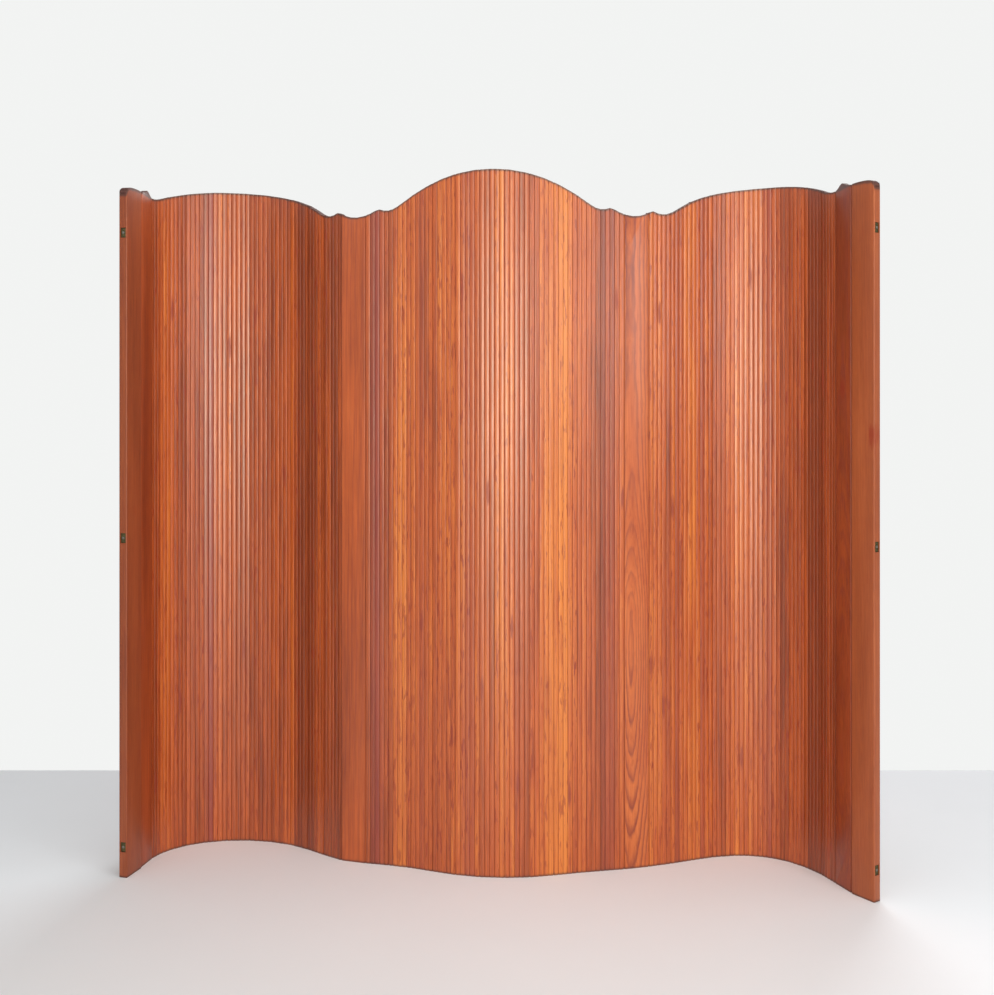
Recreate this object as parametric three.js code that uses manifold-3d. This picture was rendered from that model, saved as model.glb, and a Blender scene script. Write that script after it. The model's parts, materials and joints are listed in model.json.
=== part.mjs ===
// A room screen of upright reeded slats, threaded edge to edge on three steel cables.
// Millimetres, +Z up, +X to the right and +Y to the back as one looks at it.
// The origin is on the floor, under the middle of the middle run of slats.
import * as THREE from 'three';
import { mergeVertices } from 'three/addons/utils/BufferGeometryUtils.js';
import Module from 'manifold-3d';

const wasm = await Module();
wasm.setup();

// Slats
const slatPitch = 12.2; // one slat, groove to groove
const slatThickness = 15;
const grooveDepth = 3; // between two slats, on both faces
const shoulderInset = 1.8; // from a groove to the shoulder of the reed
const shoulderDrop = 0.8; // from the crest of the reed down to its shoulder

// Boards and posts
const bayBoardWidth = 66;
const endBoardWidth = 66;
const boardThickness = 15;
const postWidth = 72;
const postThickness = 22;
const postArris = 1.5; // chamfer on the outer upright edges

// Slats in each run, from the middle outwards. Short runs lie where the screen bends most.
const middleRunSlats = 5;
const middleBayRuns = [5, 5, 5, 5, 5];
const sideBayRuns = {
  right: [5, 5, 5, 5, 3, 3, 3, 3, 4, 5, 5],
  left: [5, 5, 5, 5, 5, 5, 5, 4, 4, 3, 3],
};

// Hinge lines between two neighbours, at mid thickness
const hingeGap = 0.3;
const foldAngle = 30; // degrees that neighbours turn out of line, each way
const foldClearance = 1; // degrees left open at that limit
const edgeSlope = Math.tan(THREE.MathUtils.degToRad((foldAngle + foldClearance) / 2));

// How the screen stands: stretches from the middle outwards, in slat pitches, and the degrees
// that each one turns towards the back
const restBends = {
  right: [
    [12.3, 21], [11.5, -5], [12.3, 9], [8.2, 4], [8.2, -18], [13.5, -52], [9.8, -23], [5.7, 0], [8.7, 20],
  ],
  left: [
    [12.3, 21], [10.7, -12], [5.7, -1], [7.4, 27], [6.6, 1], [9.8, -24], [9, -21], [7.4, -20], [14.8, -55],
    [9.6, 7],
  ],
};

// Heights of the sawn top
const crownHeight = 1750; // over the middle
const crownNotchHeight = 1654;
const innerPeakHeight = 1659;
const dipHeight = 1638.5; // over a bay board
const outerPeakHeight = 1653;
const humpNotchHeight = 1645;
const humpHeight = 1718; // over a side bay
const endHeight = 1699.5; // where the end board meets the post
const shoulderFall = 11; // from there down to the shoulder
const endPeakRise = 7; // from there up to the peak of the end board
const postTopRise = 5.5; // from there up to the post's top
const postCornerRadius = 21; // of the post's outer top corner

// Where those features lie, from the border that they belong to
const crownNotchInset = 55; // inside the bay board
const innerPeakInset = 33.5;
const outerPeakOffset = 10.5; // outside the bay board
const humpNotchOffset = 41.5;
const humpOffset = 75; // outside the middle of the side bay
const shoulderOffset = 8; // inside the end board
const endPeakOffset = 30; // from the end board's inner edge
const curveSteps = 6; // straight bits in each curve of the top

// How the curves of the top lead into and out of those features
const crownSpread = 0.46; // of the way from the middle to the crown notch
const crownFoot = { lead: 30, rise: 9.5 };
const crownNotchLead = 16;
const innerPeakLag = 11; // after the crown notch
const dipSkew = 3; // outwards from midway between the two peaks
const humpNotchLag = 14; // after the outer peak
const humpFoot = { lag: 48, bend: 21, rise: 17.5 };
const humpLead = 183;
const humpSag = 2;
const humpLag = 85;
const shoulderFoot = { lead: 45, bend: 25, rise: 6 };
const endRise = { lag: 22, bend: 11, rise: 9 };
const endPeakLead = 7;
const endPeakLag = 13;
const postRiseBend = 24; // after the post's inner edge

// Cables, bores and end hardware
const bottomCableHeight = 75;
const middleCableHeight = 838;
const topCableCover = 46.5; // from the top cable up to the lowest part of the sawn top
const cableRadius = 1.5;
const boreRadius = 2.5;
const fitGap = 0.3; // between pieces that touch
const plateWidth = 14;
const plateHeight = 24;
const plateThickness = 2;
const mortiseDepth = 5; // in the post's end face
const stopRadius = 3.5;
const stopLength = 2.1;
const screwSpread = 7.6; // from the cable to a screw
const screwRadius = 1.4;
const screwLength = 14;
const screwHeadRadius = 2.6;
const screwHeadHeight = 1.5;
const holeClearance = 0.5; // around a screw or a cable, in radius
const roundSides = 8;
const cutMargin = 1; // how far a cutter runs past what it cuts

const wood = (color, roughness) => new THREE.MeshStandardMaterial({ color, roughness, metalness: 0 });
const slatWoods = [wood(0xb5672c, 0.38), wood(0xa85a27, 0.4), wood(0xc07838, 0.36), wood(0x9c4f25, 0.42)];
const boardWood = wood(0xb06a30, 0.35);
const postWood = wood(0x8a4a22, 0.4);
const steel = new THREE.MeshStandardMaterial({ color: 0x8f9194, roughness: 0.35, metalness: 1 });
const brass = new THREE.MeshStandardMaterial({ color: 0x6f7048, roughness: 0.5, metalness: 1 });

const total = (numbers) => numbers.reduce((sum, n) => sum + n, 0);
const slope = (y) => hingeGap / 2 + y * edgeSlope; // an edge's setback at y from mid thickness

// Borders along the unrolled screen, from its middle
const bayBoardStart = slatPitch * (middleRunSlats / 2 + total(middleBayRuns));
const bayBoardEnd = bayBoardStart + bayBoardWidth;

// One half of the sawn top, from the middle to the post's outer corner. Each row is a curve's
// control point and its end, as a distance along the screen and a height.
function halfTop(side) {
  const endBoardStart = bayBoardEnd + slatPitch * total(sideBayRuns[side]);
  const endBoardEnd = endBoardStart + endBoardWidth;
  const postEnd = endBoardEnd + postWidth;
  const crownNotch = bayBoardStart - crownNotchInset;
  const innerPeak = bayBoardStart - innerPeakInset;
  const outerPeak = bayBoardEnd + outerPeakOffset;
  const humpNotch = bayBoardEnd + humpNotchOffset;
  const hump = (bayBoardEnd + endBoardStart) / 2 + humpOffset;
  const shoulder = endBoardStart - shoulderOffset;
  const endPeak = endBoardStart + endPeakOffset;
  const dipControl = 2 * dipHeight - (innerPeakHeight + outerPeakHeight) / 2;
  const shoulderHeight = endHeight - shoulderFall;
  const endPeakHeight = endHeight + endPeakRise;
  const postTopHeight = endHeight + postTopRise;
  const curves = [
    [crownNotch * crownSpread, crownHeight, crownNotch - crownFoot.lead, crownNotchHeight + crownFoot.rise],
    [crownNotch - crownNotchLead, crownNotchHeight, crownNotch, crownNotchHeight],
    [crownNotch + innerPeakLag, crownNotchHeight, innerPeak, innerPeakHeight],
    [(innerPeak + outerPeak) / 2 + dipSkew, dipControl, outerPeak, outerPeakHeight],
    [outerPeak + humpNotchLag, humpNotchHeight, humpNotch, humpNotchHeight],
    [humpNotch + humpFoot.bend, humpNotchHeight, humpNotch + humpFoot.lag, humpNotchHeight + humpFoot.rise],
    [hump - humpLead, humpHeight - humpSag, hump, humpHeight],
    [hump + humpLag, humpHeight, shoulder - shoulderFoot.lead, shoulderHeight + shoulderFoot.rise],
    [shoulder - shoulderFoot.bend, shoulderHeight, shoulder, shoulderHeight],
    [shoulder + endRise.bend, shoulderHeight, shoulder + endRise.lag, shoulderHeight + endRise.rise],
    [endPeak - endPeakLead, endPeakHeight, endPeak, endPeakHeight],
    [endPeak + endPeakLag, endHeight, endBoardEnd, endHeight],
    [endBoardEnd + postRiseBend, postTopHeight, postEnd - postCornerRadius, postTopHeight],
    [postEnd, postTopHeight, postEnd, postTopHeight - postCornerRadius],
  ];
  const path = new THREE.Path();
  path.moveTo(0, crownHeight);
  for (const curve of curves) {
    path.quadraticCurveTo(...curve);
  }
  return path.getPoints(curveSteps);
}

const tops = { right: halfTop('right'), left: halfTop('left') };
const mirroredTop = tops.left.slice(1).reverse().map((p) => new THREE.Vector2(-p.x, p.y));
tops.middle = [...mirroredTop, ...tops.right];
const topHeights = tops.middle.map((p) => p.y);
const stockHeight = Math.max(...topHeights) + cutMargin;
const cableHeights = {
  bottom: bottomCableHeight,
  middle: middleCableHeight,
  top: Math.min(...topHeights) - topCableCover,
};

function heightOf(top, distance) {
  let next = 1;
  while (next < top.length - 1 && top[next].x < distance) {
    next += 1;
  }
  const b = top[next];
  const a = top[next - 1];
  return THREE.MathUtils.mapLinear(distance, a.x, b.x, a.y, b.y);
}

// Solids
function solidOf(geometry) {
  geometry.deleteAttribute('normal');
  geometry.deleteAttribute('uv');
  const merged = mergeVertices(geometry);
  const triVerts = new Uint32Array(merged.index.array);
  return new wasm.Manifold(new wasm.Mesh({
    numProp: 3,
    vertProperties: merged.attributes.position.array,
    triVerts,
  }));
}

function geometryOf(solid) {
  const { vertProperties, triVerts } = solid.getMesh();
  const geometry = new THREE.BufferGeometry();
  geometry.setAttribute('position', new THREE.BufferAttribute(vertProperties, 3));
  geometry.setIndex(new THREE.BufferAttribute(triVerts, 1));
  geometry.computeVertexNormals();
  return geometry;
}

function extruded(shape, depth) {
  return new THREE.ExtrudeGeometry(shape, { depth, bevelEnabled: false });
}

// A round bar or cutter along X, from one end to the other
function roundAlongX(radius, start, end, z = 0) {
  const geometry = new THREE.CylinderGeometry(radius, radius, end - start, roundSides);
  geometry.rotateZ(Math.PI / 2);
  geometry.translate((start + end) / 2, 0, z);
  return geometry;
}

// Plan of a piece, from the front half of its outline, inner edge to outer edge
function planOf(front) {
  const back = front.filter(([, y]) => y > 0).reverse().map(([x, y]) => [x, -y]);
  return new THREE.Shape([...front, ...back].map(([x, y]) => new THREE.Vector2(x, y)));
}

function runPlan(slats) {
  const half = slatThickness / 2;
  const shoulder = half - shoulderDrop;
  const length = slats * slatPitch;
  const front = [[hingeGap / 2, 0], [slope(shoulder), shoulder]];
  for (let slat = 0; slat < slats; slat += 1) {
    const start = slat * slatPitch;
    if (slat > 0) {
      front.push([start, half - grooveDepth], [start + shoulderInset, shoulder]);
    }
    front.push([start + slatPitch / 2, half]);
    if (slat < slats - 1) {
      front.push([start + slatPitch - shoulderInset, shoulder]);
    }
  }
  front.push([length - slope(shoulder), shoulder], [length - hingeGap / 2, 0]);
  return planOf(front);
}

function boardPlan(width) {
  const half = boardThickness / 2;
  const inset = slope(half);
  return planOf([[hingeGap / 2, 0], [inset, half], [width - inset, half], [width - hingeGap / 2, 0]]);
}

function postPlan() {
  const half = postThickness / 2;
  return planOf([
    [hingeGap / 2, 0],
    [slope(half), half],
    [postWidth - postArris, half],
    [postWidth, half - postArris],
  ]);
}

// The face of a piece that starts at a distance from the middle, up to the sawn top
function faceOf(top, from, length) {
  const inside = top.filter((p) => p.x > from + fitGap && p.x < from + length - fitGap);
  const inner = heightOf(top, from);
  const outer = heightOf(top, from + length);
  const shape = new THREE.Shape();
  shape.moveTo(-cutMargin, -cutMargin);
  shape.lineTo(length + cutMargin, -cutMargin);
  shape.lineTo(length + cutMargin, outer);
  shape.lineTo(length, outer);
  for (const point of inside.reverse()) {
    shape.lineTo(point.x - from, point.y);
  }
  shape.lineTo(0, inner);
  shape.lineTo(-cutMargin, inner);
  return shape;
}

function upright(plan, thickness, top, from, length) {
  const depth = thickness + 2 * cutMargin;
  const face = extruded(faceOf(top, from, length), depth);
  face.rotateX(Math.PI / 2);
  face.translate(0, depth / 2, 0);
  let solid = solidOf(extruded(plan, stockHeight)).intersect(solidOf(face));
  for (const z of Object.values(cableHeights)) {
    solid = solid.subtract(solidOf(roundAlongX(boreRadius, -cutMargin, length + cutMargin, z)));
  }
  return solid;
}

// Seats in the post's outer end face for a cable plate and its screws
const plateInner = postWidth - mortiseDepth + fitGap;
const plateOuter = plateInner + plateThickness;
const screwSeat = plateOuter + fitGap;

function cutSeats(post) {
  let solid = post;
  for (const z of Object.values(cableHeights)) {
    const depth = mortiseDepth + cutMargin;
    const mortise = new THREE.BoxGeometry(depth, plateWidth + 2 * fitGap, plateHeight + 2 * fitGap);
    mortise.translate(postWidth - mortiseDepth + depth / 2, 0, z);
    solid = solid.subtract(solidOf(mortise));
    for (const side of [-1, 1]) {
      const pilotEnd = screwSeat - screwLength - fitGap;
      const pilot = roundAlongX(screwRadius + holeClearance, pilotEnd, postWidth, z + side * screwSpread);
      solid = solid.subtract(solidOf(pilot));
    }
  }
  return solid;
}

function plateGeometry() {
  const plate = new THREE.BoxGeometry(plateThickness, plateWidth, plateHeight);
  plate.translate((plateInner + plateOuter) / 2, 0, 0);
  let solid = solidOf(plate);
  const holes = [[0, cableRadius], [screwSpread, screwRadius], [-screwSpread, screwRadius]];
  for (const [z, radius] of holes) {
    const hole = roundAlongX(radius + holeClearance, plateInner - cutMargin, plateOuter + cutMargin, z);
    solid = solid.subtract(solidOf(hole));
  }
  return geometryOf(solid);
}

// A wood screw along X, its round head outwards
function screwGeometry() {
  const profile = [
    [0, -screwLength],
    [screwRadius, -screwLength + 2 * screwRadius],
    [screwRadius, 0],
    [screwHeadRadius, 0],
    [screwHeadRadius * 0.75, screwHeadHeight * 0.75],
    [0, screwHeadHeight],
  ];
  const geometry = new THREE.LatheGeometry(profile.map(([r, y]) => new THREE.Vector2(r, y)), roundSides);
  geometry.rotateZ(-Math.PI / 2);
  geometry.translate(screwSeat, 0, 0);
  return geometryOf(solidOf(geometry));
}

// A route that is straight between the points it is given
class StraightRoute extends THREE.Curve {
  constructor(points) {
    super();
    this.points = points;
  }

  getPoint(t) {
    const last = this.points.length - 1;
    const step = Math.min(Math.floor(t * last), last - 1);
    return this.points[step].clone().lerp(this.points[step + 1], t * last - step);
  }

  getPointAt(t) {
    return this.getPoint(t);
  }

  getTangentAt(t) {
    return this.getTangent(t);
  }
}

// Where the screen heads at a distance from the middle, in degrees towards the back
function headingAt(bends, distance) {
  let heading = 0;
  let start = 0;
  for (const [pitches, turn] of bends) {
    const length = pitches * slatPitch;
    heading += turn * THREE.MathUtils.clamp((distance - start) / length, 0, 1);
    start += length;
  }
  return heading;
}

const screen = new THREE.Group();

function addMesh(parent, name, geometry, material) {
  const mesh = new THREE.Mesh(geometry, material);
  mesh.name = name;
  parent.add(mesh);
  return mesh;
}

// The middle run, and the two sides that go out from it. Each piece's own frame stands on
// its inner hinge line, with +X along the piece and away from the middle.
const middleLength = middleRunSlats * slatPitch;
const middlePlan = runPlan(middleRunSlats);
const middleSolid = upright(middlePlan, slatThickness, tops.middle, -middleLength / 2, middleLength);
const middleRun = addMesh(screen, 'middle_run', geometryOf(middleSolid), slatWoods[0]);
middleRun.position.x = -middleLength / 2;

function piecesOf(side) {
  const run = (name) => (slats, index) => ({
    name: `${name}_${side}_${index + 1}`,
    length: slats * slatPitch,
    thickness: slatThickness,
    plan: runPlan(slats),
    material: slatWoods[(index * 3 + slats) % slatWoods.length],
  });
  const board = (name, width) => ({
    name: `${name}_${side}`,
    length: width,
    thickness: boardThickness,
    plan: boardPlan(width),
    material: boardWood,
  });
  const post = {
    name: `end_post_${side}`,
    length: postWidth,
    thickness: postThickness,
    plan: postPlan(),
    material: postWood,
  };
  return [
    ...middleBayRuns.map(run('middle_bay_run')),
    board('bay_board', bayBoardWidth),
    ...sideBayRuns[side].map(run('side_bay_run')),
    board('end_board', endBoardWidth),
    post,
  ];
}

function addEndHardware(frame, side) {
  const plate = plateGeometry();
  const screw = screwGeometry();
  for (const [level, z] of Object.entries(cableHeights)) {
    addMesh(frame, `cable_plate_${side}_${level}`, plate, brass).position.z = z;
    addMesh(frame, `plate_screw_${side}_${level}_upper`, screw, brass).position.z = z + screwSpread;
    addMesh(frame, `plate_screw_${side}_${level}_lower`, screw, brass).position.z = z - screwSpread;
  }
}

// Adds one side and gives back its hinge lines, the cable stop's place and its heading
function addSide(side, direction) {
  let distance = middleLength / 2;
  const hinge = new THREE.Vector3(direction * distance, 0, 0);
  const hinges = [];
  const along = new THREE.Vector3();
  for (const piece of piecesOf(side)) {
    const heading = THREE.MathUtils.degToRad(headingAt(restBends[side], distance + piece.length / 2));
    const frame = new THREE.Group();
    frame.position.copy(hinge);
    frame.rotation.z = direction > 0 ? heading : Math.PI - heading;
    screen.add(frame);
    let solid = upright(piece.plan, piece.thickness, tops[side], distance, piece.length);
    if (piece.name.startsWith('end_post')) {
      solid = cutSeats(solid);
      addEndHardware(frame, side);
    }
    addMesh(frame, piece.name, geometryOf(solid), piece.material);
    hinges.push(hinge.clone());
    along.set(direction * Math.cos(heading), Math.sin(heading), 0);
    hinge.addScaledVector(along, piece.length);
    distance += piece.length;
  }
  const stop = hinges.at(-1).clone().addScaledVector(along, screwSeat);
  const cableEnd = stop.clone().addScaledVector(along, stopLength / 2);
  return { hinges, stop, cableEnd, along };
}

const right = addSide('right', 1);
const left = addSide('left', -1);

// Cables, each with a stop pressed on at both ends
function cableGeometry(z) {
  const points = [left.cableEnd, ...left.hinges.toReversed(), ...right.hinges, right.cableEnd];
  const route = new StraightRoute(points.map((p) => new THREE.Vector3(p.x, p.y, z)));
  const section = new THREE.Shape().absarc(0, 0, cableRadius, 0, 2 * Math.PI);
  const tube = new THREE.ExtrudeGeometry(section, {
    curveSegments: roundSides / 2,
    steps: points.length - 1,
    extrudePath: route,
    bevelEnabled: false,
  });
  let solid = solidOf(tube);
  for (const { stop, along } of [left, right]) {
    const collar = roundAlongX(stopRadius, 0, stopLength);
    collar.rotateZ(Math.atan2(along.y, along.x));
    collar.translate(stop.x, stop.y, z);
    solid = solid.add(solidOf(collar));
  }
  return geometryOf(solid);
}

for (const [level, z] of Object.entries(cableHeights)) {
  addMesh(screen, `cable_${level}`, cableGeometry(z), steel);
}

export default screen;
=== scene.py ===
import json
import math
import random

import bmesh
import bpy
from mathutils import Matrix, Vector

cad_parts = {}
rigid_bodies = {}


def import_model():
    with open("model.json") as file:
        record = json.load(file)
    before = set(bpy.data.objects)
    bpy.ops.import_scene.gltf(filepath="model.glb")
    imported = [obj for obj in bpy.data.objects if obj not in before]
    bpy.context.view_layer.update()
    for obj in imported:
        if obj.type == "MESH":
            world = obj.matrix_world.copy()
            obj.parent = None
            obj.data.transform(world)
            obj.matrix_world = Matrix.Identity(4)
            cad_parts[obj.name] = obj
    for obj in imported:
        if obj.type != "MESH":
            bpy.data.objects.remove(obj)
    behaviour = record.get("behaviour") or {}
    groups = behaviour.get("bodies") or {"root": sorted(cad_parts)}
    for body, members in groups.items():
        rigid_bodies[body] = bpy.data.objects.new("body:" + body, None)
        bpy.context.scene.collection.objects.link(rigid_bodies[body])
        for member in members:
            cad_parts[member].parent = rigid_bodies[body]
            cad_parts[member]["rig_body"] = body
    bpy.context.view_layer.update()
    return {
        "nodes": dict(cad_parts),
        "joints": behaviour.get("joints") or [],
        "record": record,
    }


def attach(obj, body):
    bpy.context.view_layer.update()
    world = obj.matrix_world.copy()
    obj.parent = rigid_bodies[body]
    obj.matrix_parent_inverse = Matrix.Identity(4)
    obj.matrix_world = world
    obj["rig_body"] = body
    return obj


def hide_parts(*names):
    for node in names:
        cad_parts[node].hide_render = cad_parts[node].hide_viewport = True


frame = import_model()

scene = bpy.context.scene
print("frame loaded:", len(frame["nodes"]), "nodes")

# Camera, as the photograph was taken
photo = {
    "place": (0.319, -3.5105, 1.314),
    "turn": 5,  # degrees to the left of straight ahead
    "lens": 51.56,
    "film": 36,
    "shift": -0.153,  # the frame reaches further down than up
}
cameraData = bpy.data.cameras.new("photoCamera")
cameraData.lens = photo["lens"]
cameraData.sensor_width = photo["film"]
cameraData.shift_y = photo["shift"]
camera = bpy.data.objects.new("photoCamera", cameraData)
camera.location = photo["place"]
camera.rotation_euler = (math.radians(90), 0, math.radians(photo["turn"]))
scene.collection.objects.link(camera)
scene.camera = camera
scene.view_settings.view_transform = "Standard"

nearly = 0.99  # of a length or of a full turn towards an axis, to allow for rounding


# Small tools for working on one piece at a time
def only(*objects):
    bpy.ops.object.select_all(action="DESELECT")
    for one in objects:
        one.select_set(True)
    bpy.context.view_layer.objects.active = objects[0]


def editing(on):
    bpy.ops.object.mode_set(mode="EDIT" if on else "OBJECT")


def pick(kind, test):  # selects the vertices, edges or faces that pass the test
    bpy.ops.mesh.select_mode(type=kind)
    bpy.ops.mesh.select_all(action="DESELECT")
    mesh = bpy.context.edit_object.data
    edit = bmesh.from_edit_mesh(mesh)
    for part in {"VERT": edit.verts, "EDGE": edit.edges, "FACE": edit.faces}[kind]:
        if test(part):
            part.select_set(True)
    edit.select_flush_mode()
    bmesh.update_edit_mesh(mesh)


def runsAlong(edge, axis):
    way = edge.verts[1].co - edge.verts[0].co
    return abs(way[axis]) > nearly * way.length


def cube(name, low, high):
    bpy.ops.object.select_all(action="DESELECT")
    middle = [(a + b) / 2 for a, b in zip(low, high)]
    size = [b - a for a, b in zip(low, high)]
    bpy.ops.mesh.primitive_cube_add(size=1, location=middle, scale=size)
    made = bpy.context.object
    made.name = name
    bpy.ops.object.transform_apply(location=True, rotation=True, scale=True)
    return made


def rod(name, radius, start, end, z, sides):  # lies along X
    bpy.ops.object.select_all(action="DESELECT")
    bpy.ops.mesh.primitive_cylinder_add(
        vertices=sides, radius=radius, depth=end - start,
        location=((start + end) / 2, 0, z), rotation=(0, math.pi / 2, 0))
    made = bpy.context.object
    made.name = name
    bpy.ops.object.transform_apply(location=True, rotation=True, scale=True)
    return made


def cutAway(piece, *cutters):
    for cutter in cutters:
        only(piece)
        bpy.ops.object.modifier_add(type="BOOLEAN")
        cut = piece.modifiers[-1]
        cut.operation = "DIFFERENCE"
        cut.solver = "EXACT"
        cut.object = cutter
        bpy.ops.object.modifier_apply(modifier=cut.name)
        if not piece.data.vertices:
            raise RuntimeError(cutter.name + " cut all of " + piece.name + " away")
        bpy.data.objects.remove(cutter)


def copyOf(piece, name):
    twin = piece.copy()
    twin.data = piece.data.copy()
    twin.name = name
    scene.collection.objects.link(twin)
    return twin


def joined(pieces, name):
    only(*pieces)
    if len(pieces) > 1:
        bpy.ops.object.join()
    whole = bpy.context.object
    whole.name = name
    whole.data.name = name
    return whole


sawn = {
    "above": 1.62,  # all bores and seats lie lower, and the whole top line lies higher
    "apart": 0.0004,  # two points of the line closer than this are one
    "spare": 0.02,  # how far the saw reaches past the wood, above, in front and behind
    "overhang": 0.004,  # and at both sides
    "slope": 0.35,  # faces that look up or down more than this show end grain
}


# Where each upright piece stands: its hinge line, its turn, its length and its sawn top
def placeOf(start, along):
    turn = math.atan2(along.y, along.x)
    return Matrix.Translation(start) @ Matrix.Rotation(turn, 4, "Z")


def topLine(name, place):
    back = place.inverted()
    line = {}
    for vertex in frame["nodes"][name].data.vertices:
        point = back @ vertex.co
        if point.z > sawn["above"]:
            across = round(point.x, 4)
            line[across] = max(line.get(across, 0), point.z)
    line = sorted(line.items())
    spaced = [point for point, after in zip(line, line[1:]) if after[0] - point[0] > sawn["apart"]]
    return [line[0]] * (spaced[0] != line[0]) + spaced + [line[-1]]


def heightOn(line, across):
    for (x0, z0), (x1, z1) in zip(line, line[1:]):
        if across <= x1:
            return z0 + (z1 - z0) * max(across - x0, 0) / (x1 - x0)
    return line[-1][1]


def standing():  # every wooden piece with its own place, from the middle outwards
    found = []
    ends = {m["name"]: Vector(m["axis"]) for m in frame["record"]["mounts"]}
    first = {j["name"]: Vector(j["pos_m"]) for j in frame["joints"] if j["name"].endswith("_1")}
    along = first["hinge_right_1"] - first["hinge_left_1"]
    found.append({"node": "middle_run", "side": "middle", "place": placeOf(first["hinge_left_1"], along),
                  "length": along.length, "folds": []})
    for side, sign in (("right", 1), ("left", -1)):
        hinges = [j for j in frame["joints"] if j["name"].startswith("hinge_" + side)]
        before = Vector((sign, 0, 0))
        starts = [Vector(j["pos_m"]) for j in hinges]
        for index, joint in enumerate(hinges):
            node = frame["record"]["behaviour"]["bodies"][joint["child"]][0]
            if index + 1 < len(starts):
                along = starts[index + 1] - starts[index]
                length = along.length
            else:
                along = ends["post_end_" + side]
                length = post["width"]
            bend = before.xy.angle_signed(along.xy) * -1  # at rest, anticlockwise
            fold = max(abs(bend + math.radians(limit)) for limit in joint["range_deg"])
            found[-1 if index else 0]["folds"].append(fold)
            found.append({"node": node, "side": side, "place": placeOf(starts[index], along),
                          "length": length, "folds": [fold]})
            before = along
    found[0]["folds"].reverse()  # its own inner edge is the left one
    for one in found:
        one["body"] = frame["nodes"][one["node"]]["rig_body"]
        one["top"] = topLine(one["node"], one["place"])
    return found


slat = {
    "pitch": 0.0122,
    "overlap": 0.00001,  # so that no light comes through between two slats of a run
    "depth": 0.0149,  # crest to crest
    "crown": 0.0004,
    "shoulder": 0.25,  # share of the crown that is missing half way to the slat's edge
    "rounding": 0.0018,
    "groove": 0.001,  # how far down the rounding the painted shade between two slats is full
    "stock": 1.8,  # length before the top is sawn
    "rim": 0.0004,
    "proud": 0.00012,  # how far a slat stands out of its run or back from it
}
boardRim = {  # the eased edges along a board's top and bottom
    "share": 0.6,  # of the board's arris
    "level": 0.08,  # a rim lies between a face that looks up more than this and one that doesn't
    "sharp": 0.6,  # and it turns more than this, in radians
}
board = {"depth": 0.0149, "arris": 0.0009, "levels": 14}
post = {"width": 0.072, "depth": 0.0219, "arris": 0.0022, "levels": 14}
mortise = {"start": 0.067, "halfWidth": 0.0073, "halfHeight": 0.0123, "spare": 0.01}
hingeGap = 0.00005
foldSpare = math.radians(0.6)  # left open between two pieces at the end of their hinge's range
# round edge of a run, in a hollow of its neighbour, turned a little so that no facets lie flush
knuckle = {"radius": 0.0053, "gap": 0.0001, "sides": 28, "turn": 0.05, "spare": 0.1, "clear": 1.02}
cable = {"heights": {"bottom": 0.075, "middle": 0.838, "top": 1.592}, "radius": 0.0015, "lap": 0.0002,
         "stopRadius": 0.0034, "stopStart": 0.0696, "stopEnd": 0.0716, "stopRound": 0.0006}

uprights = standing()
draw = random.Random(7)


# Wood: each piece keeps what it was cut from as attributes, which its finish reads
def noteGrain(piece, grain, line):
    mesh = piece.data
    log, lean = grain["log"], grain["lean"]
    knotX, knotZ = grain.get("knot", (0, noKnot))
    crook = grain.get("crook")  # where the log bends, and how far and over what length below and above
    bow = 0
    face = slat["depth"] / 2 - slat["crown"]
    places, tops, knots, grooveShades = [], [], [], []
    for vertex in mesh.vertices:
        x, y, z = vertex.co
        if crook:
            by, reach = crook["below"] if z < crook["at"] else crook["above"]
            bow = by * (1 - math.exp(-((z - crook["at"]) / reach) ** 2))
        places += (x + log[0] + lean[0] * z, y + log[1] + lean[1] * z + bow, z + log[2])
        tops.append(max(heightOn(line, x) - z, 0))
        knots += (x - knotX, 0, z - knotZ)
        # painted shade in the groove between two slats, full once that depth below the face is reached
        grooveShades.append(min(max((face - abs(y)) / slat["groove"], 0), 1))
    mesh.attributes.new("logPlace", "FLOAT_VECTOR", "POINT").data.foreach_set("vector", places)
    mesh.attributes.new("knotPlace", "FLOAT_VECTOR", "POINT").data.foreach_set("vector", knots)
    mesh.attributes.new("belowTop", "FLOAT", "POINT").data.foreach_set("value", tops)
    mesh.attributes.new("paintedGrooveShade", "FLOAT", "POINT").data.foreach_set("value", grooveShades)
    for name in ("toneAndShade", "stain", "busy"):
        even = [grain[name]] * len(mesh.vertices)
        mesh.attributes.new(name, "FLOAT", "POINT").data.foreach_set("value", even)


def makeSlatStock():
    half = slat["pitch"] / 2 + slat["overlap"]
    flat = half - slat["rounding"]
    crest = slat["depth"] / 2
    face = crest - slat["crown"]
    stock = cube("slatStock", (-half, -face, 0), (half, face, slat["stock"]))
    editing(True)
    pick("EDGE", lambda e: runsAlong(e, 2))
    bpy.ops.mesh.bevel(offset=slat["rounding"], segments=4, affect="EDGES")
    pick("EDGE", lambda e: runsAlong(e, 0) and abs(e.verts[0].co.y) > face * nearly)
    bpy.ops.mesh.subdivide(number_cuts=3)
    # the three lines rise to the shoulder, then the middle one to the crest
    pick("VERT", lambda v: abs(v.co.y) > face * nearly and abs(v.co.x) < flat * nearly)
    shoulder = crest - slat["crown"] * slat["shoulder"]
    bpy.ops.transform.resize(value=(1, shoulder / face, 1), center_override=(0, 0, 0))
    pick("VERT", lambda v: abs(v.co.y) > (face + shoulder) / 2 and abs(v.co.x) < flat / 4)
    bpy.ops.transform.resize(value=(1, crest / shoulder, 1), center_override=(0, 0, 0))
    pick("FACE", lambda f: f.normal.z < -nearly)
    bpy.ops.mesh.region_to_loop()
    bpy.ops.mesh.bevel(offset=slat["rim"], segments=1, affect="EDGES")
    editing(False)
    return stock


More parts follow.
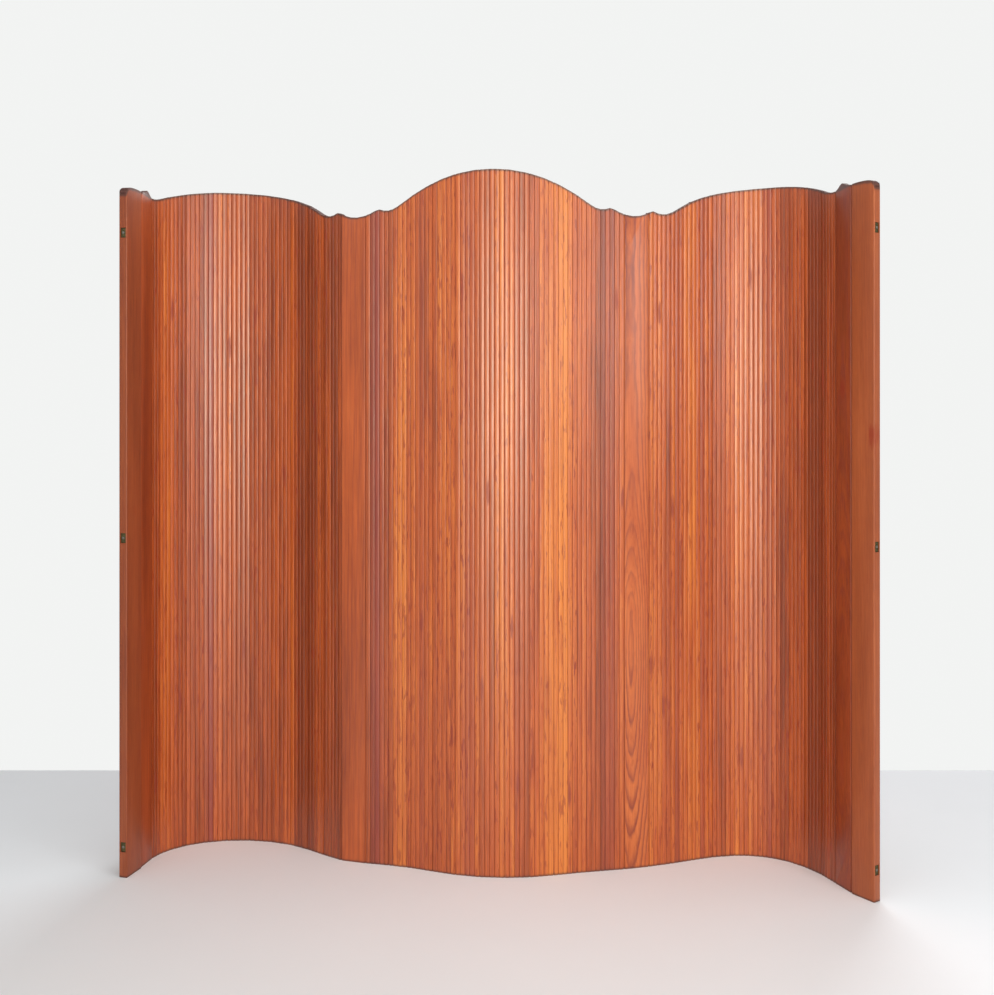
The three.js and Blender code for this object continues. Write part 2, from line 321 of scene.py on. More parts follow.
def planeEdge(piece, across, outwards, fold):  # bevels an upright edge both ways, to let it fold
    only(piece)
    editing(True)
    lean = fold / 2 + foldSpare
    for way in (-1, 1):
        bpy.ops.mesh.select_all(action="SELECT")
        bpy.ops.mesh.bisect(
            plane_co=(across - outwards * hingeGap / 2, 0, 0),
            plane_no=(outwards * math.cos(lean), way * math.sin(lean), 0), use_fill=True, clear_outer=True)
    editing(False)


def upright(name, radius, across, low, high):  # a round rod along a hinge line
    bpy.ops.object.select_all(action="DESELECT")
    bpy.ops.mesh.primitive_cylinder_add(
        vertices=knuckle["sides"], radius=radius, depth=high - low,
        location=(across, 0, (low + high) / 2), rotation=(0, 0, knuckle["turn"]))
    made = bpy.context.object
    made.name = name
    bpy.ops.object.transform_apply(location=True, rotation=True, scale=True)
    return made


def hollowEdge(piece, across):
    radius = knuckle["radius"] + knuckle["gap"]
    cutAway(piece, upright("hollow", radius, across, -knuckle["spare"], slat["stock"] + knuckle["spare"]))


# Slats that stand out, counted outwards on each side from the middle run
darkSlats = {
    "left": {58: 1.0, 59: 0.35, 21: 0.4, 22: 0.9, 23: 0.5, 1: 0.35, 2: 0.6, 3: 0.3, 12: 0.3},
    "right": {52: 0.8, 51: 0.3, 2: 0.2, 20: 0.3, 21: 0.45, 22: 0.4, 31: 0.3, 37: 0.4},
    "middle": {},
}
goldSlats = {
    "middle": {3: 0.5, 4: 0.6},
    "right": {0: 0.3, 1: 0.4, 10: 0.4, 11: 0.9, 12: 1.3, 13: 0.6},
    "left": {6: 0.4, 7: 0.6, 16: 0.4, 47: 0.4},
}
shadedStretches = {  # first and last slat of a stretch painted darker as shade where the screen turns away from the light, or made a little paler as tone, and by how much
    "left": [(19, 25, -0.5), (26, 38, -0.95), (39, 45, -0.55), (46, 69, -0.5), (70, 73, -0.6)],
    "right": [(0, 9, 0.15), (19, 24, -0.3), (55, 61, -0.3), (62, 66, -1.5), (67, 70, -1.1)],
    "middle": [],
}
knotHeights = {
    "middle": {0: 0.466},
    "right": {2: 0.232, 13: 0.198, 30: 0.9, 1: 0.62},
    "left": {54: 1.31, 58: 0.49, 12: 0.62},
}
drift = {  # neighbours were often cut from one plank, so their tones keep together
    "toneAndShade": 0.0,
    "kept": 0.5,
    "change": 0.6,
}
cutting = {  # how far apart in their logs the slats were cut, and how far they lean there
    "across": 0.04,
    "fromHeart": (0.02, 0.12),
    "along": 9,
    "leanAcross": 0.006,
    "leanDeep": 0.02,
    "knotty": 0.1,  # share of the slats with a knot
    "knotHeight": (0.1, 1.6),
    "knotAside": 0.003,
}
noKnot = -9  # a knot's height that is out of reach


def makeRun(one, first):  # the slats of one run, from its inner edge outwards
    count = round(one["length"] / slat["pitch"])
    slats = []
    for index in range(count):
        middle = (index + 0.5) * slat["pitch"]
        inner = heightOn(one["top"], middle - slat["pitch"] / 2)
        outer = heightOn(one["top"], middle + slat["pitch"] / 2)
        piece = copyOf(slatStock, "slat")
        only(piece)
        editing(True)
        bpy.ops.mesh.select_all(action="SELECT")
        bpy.ops.mesh.bisect(
            plane_co=(0, 0, (inner + outer) / 2), plane_no=(inner - outer, 0, slat["pitch"]),
            use_fill=True, clear_outer=True)
        bpy.ops.mesh.bevel(offset=slat["rim"], segments=1, affect="EDGES")
        editing(False)
        if index == 0:
            planeEdge(piece, -slat["pitch"] / 2, -1, one["folds"][0])
        if index == count - 1:
            planeEdge(piece, slat["pitch"] / 2, 1, one["folds"][1])
        for end, hollow in ((0, one["side"] == "middle"), (count - 1, True)):
            if index == end and hollow:
                hollowEdge(piece, slat["pitch"] / 2 * (1 if end else -1))
        number = first + index
        proud = draw.uniform(-1, 1) * slat["proud"]
        piece.location = (middle, proud if 0 < index < count - 1 else 0, 0)
        only(piece)
        bpy.ops.object.transform_apply(location=True, rotation=True, scale=True)
        drift["toneAndShade"] = drift["toneAndShade"] * drift["kept"] + draw.uniform(-1, 1) * drift["change"]
        side = one["side"]
        knot = draw.uniform(*cutting["knotHeight"]) if draw.random() < cutting["knotty"] else noKnot
        knot = knotHeights[side].get(number, knot)
        grain = {
            "log": (
                draw.uniform(-1, 1) * cutting["across"] - middle,
                draw.uniform(*cutting["fromHeart"]) * draw.choice((-1, 1)),
                draw.uniform(0, cutting["along"])),
            "lean": (draw.uniform(-1, 1) * cutting["leanAcross"], draw.uniform(-1, 1) * cutting["leanDeep"]),
            # its tone, with painted shade added on the stretches that turn away from the light
            "toneAndShade": drift["toneAndShade"] + goldSlats[side].get(number, 0)
            + sum(shift for low, high, shift in shadedStretches[side] if low <= number <= high),
            "stain": darkSlats[side].get(number, 0),
            "busy": draw.random(),
            "knot": (middle + draw.uniform(-1, 1) * cutting["knotAside"], knot),
        }
        noteGrain(piece, grain, one["top"])
        slats.append(piece)
        if index == 0 and side != "middle":
            bead = upright("bead", knuckle["radius"], 0, slat["rim"], heightOn(one["top"], 0) - slat["rim"])
            noteGrain(bead, grain, one["top"])
            slats.append(bead)
    return joined(slats, "slats_" + one["node"]), first + count


def sawTop(piece, line, length):  # the sawn line is cut through the whole thickness
    spare = sawn["spare"]
    low = min(height for across, height in line) - spare
    ends = (-sawn["overhang"], length + sawn["overhang"])
    saw = cube("saw", (ends[0], -spare, low), (ends[1], spare, slat["stock"] + spare))
    corners = [across for across, height in line if sawn["apart"] / 2 < across < length - sawn["apart"] / 2]
    editing(True)
    for across in corners:
        bpy.ops.mesh.select_all(action="SELECT")
        bpy.ops.mesh.bisect(plane_co=(across, 0, 0), plane_no=(1, 0, 0))
    for across in (ends[0], *corners, ends[1]):
        pick("VERT", lambda v: v.co.z < low + spare / 2 and abs(v.co.x - across) < sawn["apart"] / 4)
        bpy.ops.transform.translate(value=(0, 0, heightOn(line, across) - low))
    editing(False)
    cutAway(piece, saw)


def onRim(edge, way, end):
    outward = sorted(f.normal.z * way > boardRim["level"] for f in edge.link_faces)
    return (outward == [False, True] and edge.calc_face_angle() > boardRim["sharp"]
            and max(v.co.x for v in edge.verts) < end)


def makeBoard(one, wide):
    length = one["length"]
    half = wide["depth"] / 2
    stock = cube(one["node"] + "_board", (0, -half, 0), (length, half, slat["stock"]))
    planeEdge(stock, 0, -1, one["folds"][0])
    if len(one["folds"]) > 1:
        planeEdge(stock, length, 1, one["folds"][1])
    editing(True)
    pick("EDGE", lambda e: runsAlong(e, 2) and abs(e.verts[0].co.y) > half / 2)
    bpy.ops.mesh.bevel(offset=wide["arris"], segments=3, affect="EDGES")
    for level in range(1, wide["levels"]):
        bpy.ops.mesh.select_all(action="SELECT")
        bpy.ops.mesh.bisect(plane_co=(0, 0, slat["stock"] * level / wide["levels"]), plane_no=(0, 0, 1))
    editing(False)
    sawTop(stock, one["top"], length)
    hollow = len(one["folds"]) > 1
    if hollow:
        hollowEdge(stock, length)
    rimEnd = length - knuckle["radius"] * knuckle["clear"] if hollow else length + 1
    only(stock)
    editing(True)
    for way in (1, -1):  # top rim, then bottom rim
        pick("EDGE", lambda e: onRim(e, way, rimEnd))
        bpy.ops.mesh.bevel(offset=wide["arris"] * boardRim["share"], segments=2, affect="EDGES")
    editing(False)
    if not hollow:
        for z in cable["heights"].values():
            low = (mortise["start"], -mortise["halfWidth"], z - mortise["halfHeight"])
            high = (length + mortise["spare"], mortise["halfWidth"], z + mortise["halfHeight"])
            cutAway(stock, cube("mortise", low, high))
    bead = upright("bead", knuckle["radius"], 0, slat["rim"], heightOn(one["top"], 0) - slat["rim"])
    return joined([stock, bead], one["node"] + "_board")


# Wood finish
def nodesOf(owner):  # a material or the world
    owner.use_nodes = True
    tree = owner.node_tree
    tree.nodes.clear()
    return tree


def link(tree, a, b):
    tree.links.new(a, b)


def addNode(tree, kind, **values):
    made = tree.nodes.new(kind)
    for key, value in values.items():
        setattr(made, key, value)
    return made


def calculate(tree, operation, a, b=None):
    made = addNode(tree, "ShaderNodeMath", operation=operation)
    for socket, value in zip(made.inputs, (a, b)):
        if value is None:
            continue
        if isinstance(value, (int, float)):
            socket.default_value = value
        else:
            link(tree, value, socket)
    return made.outputs[0]


def mixColor(tree, factor, a, b):
    made = addNode(tree, "ShaderNodeMix", data_type="RGBA")
    for socket, value in ((made.inputs[0], factor), (made.inputs[6], a), (made.inputs[7], b)):
        if isinstance(value, (int, float)):
            socket.default_value = value
        elif isinstance(value, tuple):
            socket.default_value = (*value, 1)
        else:
            link(tree, value, socket)
    return made.outputs[2]


def noise(tree, where, scale, detail=3, rough=0.55):
    spread = addNode(tree, "ShaderNodeMapping")
    spread.inputs["Scale"].default_value = scale
    link(tree, where, spread.inputs["Vector"])
    made = addNode(tree, "ShaderNodeTexNoise")
    made.inputs["Scale"].default_value = 1
    made.inputs["Detail"].default_value = detail
    made.inputs["Roughness"].default_value = rough
    link(tree, spread.outputs["Vector"], made.inputs["Vector"])
    return made.outputs["Fac"]


def stepDown(tree, value, full, none):  # 1 up to full, then down to 0
    made = addNode(tree, "ShaderNodeMapRange", interpolation_type="SMOOTHSTEP")
    made.inputs["From Min"].default_value = full
    made.inputs["From Max"].default_value = none
    made.inputs["To Min"].default_value = 1
    made.inputs["To Max"].default_value = 0
    link(tree, value, made.inputs["Value"])
    return made.outputs[0]


def attribute(tree, name, output="Fac"):
    return addNode(tree, "ShaderNodeAttribute", attribute_name=name).outputs[output]


def colorRamp(tree, value, stops):
    made = addNode(tree, "ShaderNodeValToRGB")
    ramp = made.color_ramp
    for element, (position, color) in zip(ramp.elements, (stops[0], stops[-1])):
        element.position, element.color = position, (*color, 1)
    for position, color in stops[1:-1]:
        ramp.elements.new(position).color = (*color, 1)
    link(tree, value, made.inputs[0])
    return made.outputs[0]


def grey(level):
    return (level, level, level)


def emptyMaterial(name):
    material = bpy.data.materials.new(name)
    return material, nodesOf(material)


def finished(tree, shader, kind="Material"):
    link(tree, shader, addNode(tree, "ShaderNodeOutput" + kind).inputs["Surface"])


grainScales = {  # of each noise, across and along the log, in turns per metre
    "knotEdge": (300, 300, 60), "heartSway": (9, 9, 1.6), "heartDrift": (7, 7, 2.3), "flame": (110, 110, 26),
    "figure": (14, 14, 2.2), "streaks": (270, 270, 5), "fibres": (800, 800, 22), "dashes": (190, 190, 25),
    "slow": (16, 16, 1.6), "patches": (90, 90, 40),
}
yearRing = ((0, grey(0)), (0.45, grey(0.15)), (0.8, grey(1)), (0.97, grey(0.1)))  # early to late wood
woodMix = {
    "knotRagged": 1.1, "knotCore": 0.35, "knotEdge": 1.1, "swerve": 0.006,  # rings go round a knot
    "leastRings": 0.25, "figureGain": 1.6, "figureBase": -0.2,
    "dashSoft": 0.09, "leastDashes": 0.2, "middleShade": 0.5,
    "fibreBase": -0.45, "fibreShare": 0.8, "knotShare": 0.8, "stainShare": 0.7,
    "patchDepth": 0.004, "topRim": (0.002, 0.0075), "footRim": (0.001, 0.008),
    "dullKnot": 0.15, "dullFibre": 0.16, "dullBase": -0.08, "bumpDepth": 0.0006,
}


def woodFinish(name, look):
    material, tree = emptyMaterial(name)
    share = woodMix

    def times(a, b):
        return calculate(tree, "MULTIPLY", a, b)

    def plus(a, b):
        return calculate(tree, "ADD", a, b)

    def grainNoise(kind, detail=3, rough=0.55):
        return noise(tree, where, grainScales[kind], detail, rough)

    def around(kind, detail=3):  # noise round zero
        return calculate(tree, "SUBTRACT", grainNoise(kind, detail), 0.5)

    where = attribute(tree, "logPlace", "Vector")
    # knots, as long ovals
    oval = addNode(tree, "ShaderNodeVectorMath", operation="MULTIPLY")
    oval.inputs[1].default_value = look["knotSize"]
    link(tree, attribute(tree, "knotPlace", "Vector"), oval.inputs[0])
    reach = addNode(tree, "ShaderNodeVectorMath", operation="LENGTH")
    link(tree, oval.outputs[0], reach.inputs[0])
    ragged = plus(reach.outputs["Value"], times(around("knotEdge"), share["knotRagged"]))
    knot = stepDown(tree, ragged, share["knotCore"], share["knotEdge"])
    # year rings round the log's heart, which wanders up the tree and swerves round a knot
    apart = addNode(tree, "ShaderNodeSeparateXYZ")
    link(tree, where, apart.inputs[0])
    x = plus(apart.outputs[0], times(around("heartSway"), look["wander"]))
    y = plus(apart.outputs[1], times(around("heartDrift"), look["wander"]))
    radius = calculate(tree, "SQRT", plus(times(x, x), times(y, y)))
    radius = plus(radius, plus(times(around("flame"), look["flame"]), times(knot, share["swerve"])))
    rings = calculate(tree, "FRACT", calculate(tree, "DIVIDE", radius, look["ring"]))
    lateWood = colorRamp(tree, rings, yearRing)
    busy = attribute(tree, "busy")
    clear = plus(times(busy, 1 - share["leastRings"]), share["leastRings"])
    figure = times(clear, plus(times(grainNoise("figure", 2), share["figureGain"]), share["figureBase"]))
    late = times(times(lateWood, figure), look["ringStrength"])
    # long streaks, fine fibres and dark resin dashes
    streaks = around("streaks", 4)
    fibres = grainNoise("fibres", 3, 0.6)
    between = stepDown(tree, grainNoise("dashes"), look["dashFrom"], look["dashFrom"] + share["dashSoft"])
    dashed = plus(times(busy, 1 - share["leastDashes"]), share["leastDashes"])
    dashes = times(times(calculate(tree, "SUBTRACT", 1, between), dashed), look["dashStrength"])
    # light to dark by the piece's tone and painted shade, then late wood, fibres, dashes, knot and stain
    slow = plus(times(around("slow", 2), look["slow"]), share["middleShade"])
    shade = plus(times(attribute(tree, "toneAndShade"), look["toneAndShade"]), slow)
    shade = plus(shade, times(streaks, look["streaks"]))
    color = colorRamp(tree, shade, ((0, look["dark"]), (0.5, look["middle"]), (1, look["gold"])))
    color = mixColor(tree, late, color, look["late"])
    color = mixColor(tree, times(plus(fibres, share["fibreBase"]), share["fibreShare"]), color, look["fibre"])
    color = mixColor(tree, dashes, color, look["dash"])
    color = mixColor(tree, times(knot, share["knotShare"]), color, look["knot"])
    color = mixColor(tree, times(attribute(tree, "stain"), share["stainShare"]), color, look["stain"])
    # painted shade in the grooves between two slats, where the varnish is also made rougher
    groove = times(attribute(tree, "paintedGrooveShade"), look["grooveStrength"])
    color = mixColor(tree, groove, color, look["dark"])
    # grime along the sawn top, and darker towards the foot
    height = addNode(tree, "ShaderNodeSeparateXYZ")
    link(tree, addNode(tree, "ShaderNodeTexCoord").outputs["Object"], height.inputs[0])
    patchy = times(around("patches"), share["patchDepth"])
    rim = stepDown(tree, plus(attribute(tree, "belowTop"), patchy), *share["topRim"])
    foot = stepDown(tree, plus(height.outputs[2], patchy), *share["footRim"])
    grimeAndFootDark = calculate(tree, "MAXIMUM", times(rim, look["topGrime"]), times(foot, look["footDark"]))
    color = mixColor(tree, grimeAndFootDark, color, look["grimeAndFootDark"])
    shader = addNode(tree, "ShaderNodeBsdfPrincipled")
    link(tree, color, shader.inputs["Base Color"])
    shader.inputs["Specular IOR Level"].default_value = look["specular"]
    dull = plus(plus(times(knot, share["dullKnot"]), groove), look["roughness"] + share["dullBase"])
    link(tree, plus(times(fibres, share["dullFibre"]), dull), shader.inputs["Roughness"])
    bump = addNode(tree, "ShaderNodeBump")
    bump.inputs["Strength"].default_value = look["bump"]
    bump.inputs["Distance"].default_value = share["bumpDepth"]
    link(tree, fibres, bump.inputs["Height"])
    link(tree, bump.outputs[0], shader.inputs["Normal"])
    finished(tree, shader.outputs[0])
    return material


slatLook = {
    "dark": (0.18, 0.027, 0.005), "middle": (0.46, 0.086, 0.015), "gold": (0.68, 0.2, 0.03),
    "late": (0.2, 0.024, 0.006), "fibre": (0.62, 0.17, 0.034), "dash": (0.26, 0.028, 0.005),
    "stain": (0.24, 0.036, 0.03), "knot": (0.24, 0.026, 0.008), "knotSize": (170, 1, 27),
    "ring": 0.0042, "ringStrength": 0.5, "wander": 0.016, "flame": 0.001,
    "dashFrom": 0.55, "dashStrength": 0.9,
    "toneAndShade": 0.28, "slow": 0.9, "streaks": 1.1, "roughness": 0.335, "specular": 0.7, "bump": 0.3,
    "grimeAndFootDark": (0.045, 0.02, 0.018), "topGrime": 0.8, "footDark": 0.7, "grooveStrength": 0.4,
}
boardLook = dict(slatLook, ringStrength=1.25, ring=0.006, wander=0.012, flame=0.0028, streaks=0.7,
                 dashStrength=0.25, bump=0.2, roughness=0.33, specular=0.55, knotSize=(80, 1, 30),
                 late=(0.17, 0.024, 0.02), middle=(0.46, 0.092, 0.021), gold=(0.66, 0.19, 0.05))
postLook = dict(boardLook, ringStrength=0.4, wander=0.03, dashStrength=0.3, roughness=0.42, specular=0.4,
                dark=(0.185, 0.039, 0.014), middle=(0.315, 0.075, 0.025), gold=(0.46, 0.13, 0.045))
sawnLook = dict(slatLook, dark=(0.11, 0.032, 0.022), middle=(0.17, 0.06, 0.042), gold=(0.23, 0.095, 0.07),
                grooveStrength=0.0, roughness=0.7, specular=0.25)
slatWood = woodFinish("slatVarnish", slatLook)
boardWood = woodFinish("boardVarnish", boardLook)
postWood = woodFinish("postVarnish", postLook)
sawnWood = woodFinish("sawnEnds", sawnLook)


def metalFinish(name, look):
    material, tree = emptyMaterial(name)
    where = addNode(tree, "ShaderNodeTexCoord").outputs["Object"]
    cloud = noise(tree, where, look["cloud"], 4)
    color = mixColor(tree, cloud, look["bright"], look["dull"])
    shader = addNode(tree, "ShaderNodeBsdfPrincipled")
    shader.inputs["Metallic"].default_value = look["metallic"]
    link(tree, color, shader.inputs["Base Color"])
    cloudy = calculate(tree, "MULTIPLY", cloud, look["cloudy"])
    link(tree, calculate(tree, "ADD", cloudy, look["roughness"]), shader.inputs["Roughness"])
    finished(tree, shader.outputs[0])
    return material


brassLook = {"bright": (0.15, 0.12, 0.05), "dull": (0.05, 0.058, 0.035), "metallic": 0.8, "roughness": 0.42,
             "cloud": (180, 180, 180), "cloudy": 0.3}
steelLook = dict(brassLook, bright=(0.26, 0.25, 0.23), dull=(0.1, 0.09, 0.07), metallic=0.9, roughness=0.38)
agedBrass = metalFinish("agedBrass", brassLook)
dullSteel = metalFinish("dullSteel", steelLook)
smoothBelow = {"wood": math.radians(32), "metal": math.radians(40)}  # edges flatter than this shade smooth


def finishWood(piece, wood, one):
    piece.data.materials.clear()
    piece.data.materials.append(wood)
    piece.data.materials.append(sawnWood)
    only(piece)
    editing(True)
    pick("FACE", lambda f: abs(f.normal.z) > sawn["slope"])
    piece.active_material_index = 1
    bpy.ops.object.material_slot_assign()
    editing(False)
    only(piece)
    bpy.ops.object.shade_smooth_by_angle(angle=smoothBelow["wood"])
    piece.matrix_world = one["place"]
    bpy.ops.object.transform_apply(location=True, rotation=True, scale=True)
    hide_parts(one["node"])
    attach(piece, one["body"])


slatStock = makeSlatStock()
counted = {"middle": 0, "right": 0, "left": 0}
for one in uprights:
    name = one["node"]
    if "run" in name:
        piece, counted[one["side"]] = makeRun(one, counted[one["side"]])
        finishWood(piece, slatWood, one)
bpy.data.objects.remove(slatStock)
print("slats made:", sum(counted.values()))

boardGrain = {  # where in its log each board was cut, and how the log leans or bends there
    "bay_board_right": {
        "log": (-0.02, 0.016, 0.0), "lean": (0.003, 0.0), "toneAndShade": 0.6, "stain": 0.0, "busy": 1.0,
        "crook": {"at": 0.56, "below": (0.055, 0.5), "above": (0.036, 0.25)}},
    "bay_board_left": {
        "log": (0.02, 0.09, 3.0), "lean": (0.003, 0.008), "toneAndShade": -0.6, "stain": 0.0, "busy": 0.2},
    # the low tones of both end boards and of the left post are partly painted shade
    "end_board_right": {
        "log": (-0.03, 0.03, 5.0), "lean": (0.0, 0.0), "toneAndShade": -1.7, "stain": 0.1, "busy": 0.7,
        "knot": (0.03, 1.21), "crook": {"at": 0.3, "below": (0.04, 0.3), "above": (0.06, 0.6)}},
    "end_board_left": {
        "log": (0.03, 0.07, 7.0), "lean": (0.01, 0.01), "toneAndShade": -1.1, "stain": 0.1, "busy": 0.4},
    "end_post_right": {
        "log": (0.02, 0.08, 9.0), "lean": (0.01, 0.015), "toneAndShade": -0.1, "stain": 0.0, "busy": 0.4,
        "knot": (0.064, 1.1)},
    "end_post_left": {
        "log": (-0.02, 0.07, 11.0), "lean": (0.0, 0.02), "toneAndShade": -0.7, "stain": 0.1, "busy": 0.4},
}
for one in uprights:
    name = one["node"]
    if "run" in name:
        continue
    isPost = name.startswith("end_post")
    piece = makeBoard(one, post if isPost else board)
    noteGrain(piece, boardGrain[name], one["top"])
    finishWood(piece, postWood if isPost else boardWood, one)
print("boards and posts made")


# Fittings in the end faces of the posts
plate = {"start": 0.0673, "end": 0.0693, "halfWidth": 0.007, "halfHeight": 0.012, "corner": 0.002,
         "rim": 0.0004, "cableHole": 0.002, "screwHole": 0.0017, "screwSpread": 0.0076, "spare": 0.01}
screw = {"seat": 0.0696, "shank": 0.0013, "length": 0.013, "tip": 0.2, "head": 0.0026, "dome": 0.0014,
         "round": 0.0011, "slotFloor": 0.0006, "slotHalf": 0.00035, "sunk": 0.0002, "spare": 0.0016}


def makePlate():
    made = cube("plateStock", (plate["start"], -plate["halfWidth"], -plate["halfHeight"]),
                (plate["end"], plate["halfWidth"], plate["halfHeight"]))
    editing(True)
    pick("EDGE", lambda e: runsAlong(e, 0))
    bpy.ops.mesh.bevel(offset=plate["corner"], segments=4, affect="EDGES")
    pick("EDGE", lambda e: sorted(f.normal.x > nearly for f in e.link_faces) == [False, True])
    bpy.ops.mesh.bevel(offset=plate["rim"], segments=2, affect="EDGES")
    editing(False)
    spread = plate["screwSpread"]
    ends = (plate["start"] - plate["spare"], plate["end"] + plate["spare"])
    for z, radius in ((0, plate["cableHole"]), (spread, plate["screwHole"]), (-spread, plate["screwHole"])):
        cutAway(made, rod("hole", radius, *ends, z, 20))
    return made


def makeScrew():
    seat, spare, tip = screw["seat"], screw["spare"], screw["tip"]
    made = rod("screwStock", screw["head"], seat, seat + screw["dome"], 0, 24)
    editing(True)
    pick("FACE", lambda f: f.normal.x > nearly)
    bpy.ops.mesh.bevel(offset=screw["round"], segments=4, affect="EDGES")
    editing(False)
    reach = screw["head"] + spare
    low = (seat + screw["slotFloor"], -screw["slotHalf"], -reach)
    cutAway(made, cube("slotCut", low, (seat + screw["dome"] + spare, screw["slotHalf"], reach)))
    shank = rod("shank", screw["shank"], seat - screw["length"], seat + screw["sunk"], 0, 12)
    editing(True)
    pick("FACE", lambda f: f.normal.x < -nearly)
    bpy.ops.transform.resize(value=(1, tip, tip), center_override=(0, 0, 0))
    editing(False)
    return joined([made, shank], "screwStock")


def seatMetal(stock, node, material, place, z, turn=0.0):
    piece = copyOf(stock, "visual_" + node)
    piece.data.materials.clear()
    piece.data.materials.append(material)
    only(piece)
    bpy.ops.object.shade_smooth_by_angle(angle=smoothBelow["metal"])
    piece.matrix_world = place @ Matrix.Translation((0, 0, z)) @ Matrix.Rotation(turn, 4, "X")
    bpy.ops.object.transform_apply(location=True, rotation=True, scale=True)
    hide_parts(node)
    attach(piece, frame["nodes"][node]["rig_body"])


plateStock = makePlate()
screwStock = makeScrew()
for one in uprights:
    if not one["node"].startswith("end_post"):
        continue
    side = one["side"]
    for level, z in cable["heights"].items():
        seatMetal(plateStock, f"cable_plate_{side}_{level}", agedBrass, one["place"], z)
        for name, step in (("upper", plate["screwSpread"]), ("lower", -plate["screwSpread"])):
            node = f"plate_screw_{side}_{level}_{name}"
            turn = draw.uniform(0, 3)
            seatMetal(screwStock, node, agedBrass, one["place"], z + step, turn)
bpy.data.objects.remove(plateStock)
bpy.data.objects.remove(screwStock)
print("fittings made")

# Each piece carries its own bit of the three cables, so that they follow when the screen bends
for one in uprights:
    isPost = one["node"].startswith("end_post")
    bits = []
    inset = knuckle["radius"] + cable["lap"]  # clear of the neighbour's bead
    start = inset if one["side"] == "middle" else cable["lap"] - knuckle["radius"]
    end = cable["stopStart"] if isPost else one["length"] - inset
    for z in cable["heights"].values():
        bits.append(rod("cableBit", cable["radius"], start, end, z, 12))
        if isPost:
            stop = rod("stop", cable["stopRadius"], cable["stopStart"], cable["stopEnd"], z, 20)
            editing(True)
            pick("FACE", lambda f: f.normal.x > nearly)
            bpy.ops.mesh.bevel(offset=cable["stopRound"], segments=3, affect="EDGES")
            editing(False)
            bits.append(stop)
    piece = joined(bits, "cables_in_" + one["node"])
    piece.data.materials.clear()
    piece.data.materials.append(dullSteel)
    only(piece)
    bpy.ops.object.shade_smooth_by_angle(angle=smoothBelow["metal"])
    piece.matrix_world = one["place"]
    bpy.ops.object.transform_apply(location=True, rotation=True, scale=True)
    if one["node"] == "middle_run":
        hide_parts("cable_bottom", "cable_middle", "cable_top")
    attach(piece, one["body"])
print("cables made")

# Floor and light
room = {
    "floor": (0.84, 0.865, 0.905),
    "floorSize": (24, 12),
    "floorRoughness": 0.7,
    "floorSpecular": 0.2,
    "patches": (0.96, 1.04),  # how much darker and lighter the floor is in places
    "patchScale": (1.1, 1.1, 1.1),
    "wallLine": 0.88,  # where the floor meets the wall, behind the screen
    "background": {"color": (0.99, 1, 0.99, 1), "strength": 0.9},
    "sky": {"color": (1, 0.99, 0.97, 1), "strength": 0.1},  # what lights the screen from all round
}
bpy.ops.object.select_all(action="DESELECT")
bpy.ops.mesh.primitive_plane_add(size=1, location=(0, 0, 0))
floor = bpy.context.object
floor.name = "floor"
floor.scale = (*room["floorSize"], 1)
bpy.ops.object.transform_apply(location=False, rotation=False, scale=True)
floor.location = (0, room["wallLine"] - room["floorSize"][1] / 2, 0)
bpy.ops.object.transform_apply(location=True, rotation=False, scale=False)
floor.rotation_euler = (0, 0, math.radians(photo["turn"]))
bpy.ops.object.transform_apply(location=False, rotation=True, scale=False)
floorPaint, tree = emptyMaterial("floorPaint")
shader = addNode(tree, "ShaderNodeBsdfPrincipled")
shader.inputs["Roughness"].default_value = room["floorRoughness"]
shader.inputs["Specular IOR Level"].default_value = room["floorSpecular"]
where = addNode(tree, "ShaderNodeTexCoord").outputs["Object"]
cloud = noise(tree, where, room["patchScale"], 5, 0.6)
darker, lighter = (tuple(min(c * change, 1) for c in room["floor"]) for change in room["patches"])
link(tree, mixColor(tree, cloud, darker, lighter), shader.inputs["Base Color"])
finished(tree, shader.outputs[0])
floor.data.materials.append(floorPaint)

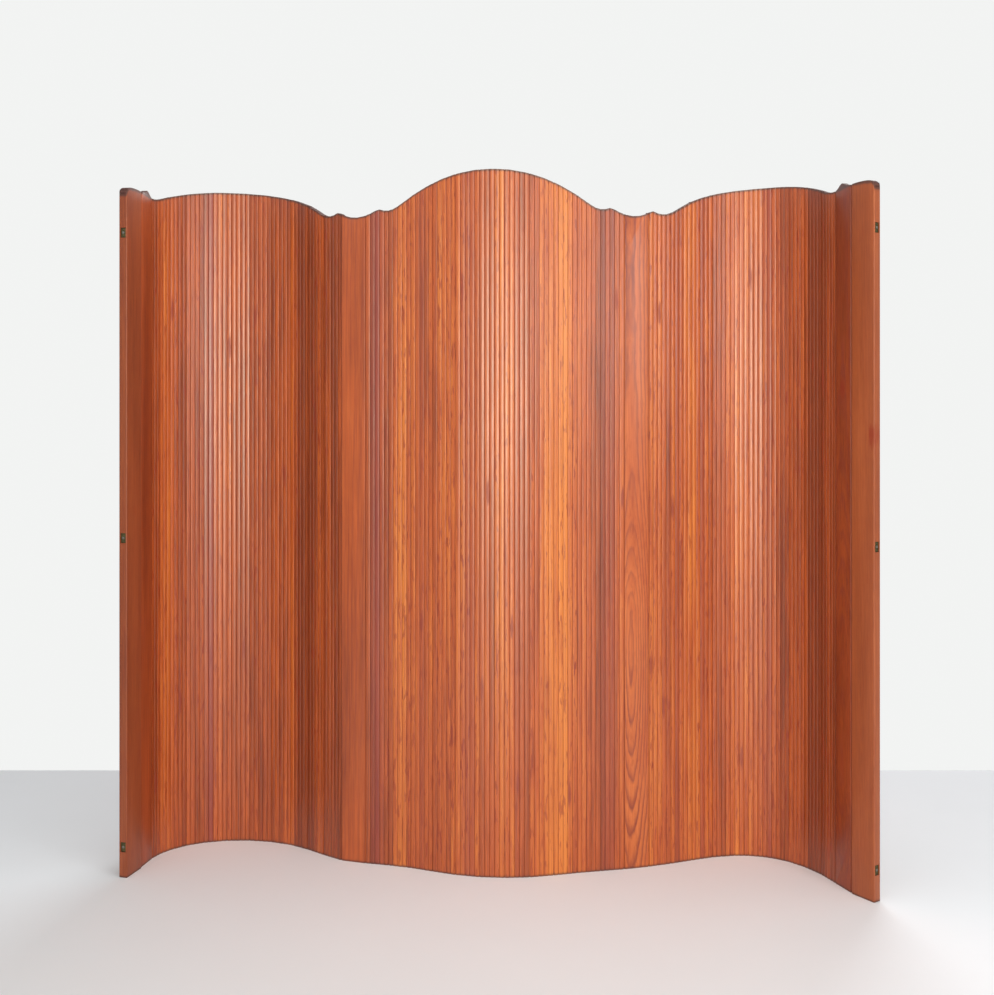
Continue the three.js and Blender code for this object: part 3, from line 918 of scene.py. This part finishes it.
world = bpy.data.worlds.new("room")
scene.world = world
tree = nodesOf(world)
path = addNode(tree, "ShaderNodeLightPath")
seen = calculate(tree, "MAXIMUM", path.outputs["Is Camera Ray"], path.outputs["Is Transmission Ray"])
seen = calculate(tree, "MAXIMUM", seen, path.outputs["Is Glossy Ray"])
mix = addNode(tree, "ShaderNodeMixShader")
link(tree, seen, mix.inputs[0])
for light, socket in ((room["sky"], mix.inputs[1]), (room["background"], mix.inputs[2])):
    glow = addNode(tree, "ShaderNodeBackground")
    glow.inputs["Color"].default_value = light["color"]
    glow.inputs["Strength"].default_value = light["strength"]
    link(tree, glow.outputs[0], socket)
finished(tree, mix.outputs[0], "World")

lamps = {
    "window": {"place": (0.35, -4.7, 1.15), "aim": (0, 0, 1.1), "size": (1.0, 1.5), "power": 128,
               "color": (1, 0.95, 0.76)},
    "sideWindow": {"place": (2.7, -2.5, 1.6), "aim": (0.3, 0, 1.1), "size": (0.9, 1.0), "power": 24,
                   "color": (1, 0.97, 0.93)},
    "key": {"place": (1.2, -2.8, 3.0), "aim": (0, 0, 0.9), "size": (1.8, 1.6), "power": 12,
            "color": (1, 0.98, 0.95)},
    "fill": {"place": (-3.2, -2.8, 2.6), "aim": (0, 0, 0.9), "size": (2.4, 2.4), "power": 3,
             "color": (1, 1, 1)},
    "ceiling": {"place": (0.5, -1.8, 4.2), "aim": (0.5, -1.8, 0), "size": (6.0, 5.0), "power": 122,
                "color": (1, 1, 1)},
    "back": {"place": (1.0, 3.6, 4.3), "aim": (0.4, 0.4, 0.5), "size": (3.0, 2.2), "power": 132,
             "color": (1, 1, 1)},
}
for name, lamp in lamps.items():
    data = bpy.data.lights.new(name, "AREA")
    data.shape = "RECTANGLE"
    data.size, data.size_y = lamp["size"]
    data.energy = lamp["power"]
    data.color = lamp["color"]
    light = bpy.data.objects.new(name, data)
    light.location = lamp["place"]
    towards = Vector(lamp["aim"]) - Vector(lamp["place"])
    light.rotation_euler = towards.to_track_quat("-Z", "Y").to_euler()
    light.visible_camera = False
    scene.collection.objects.link(light)
print("room lit")
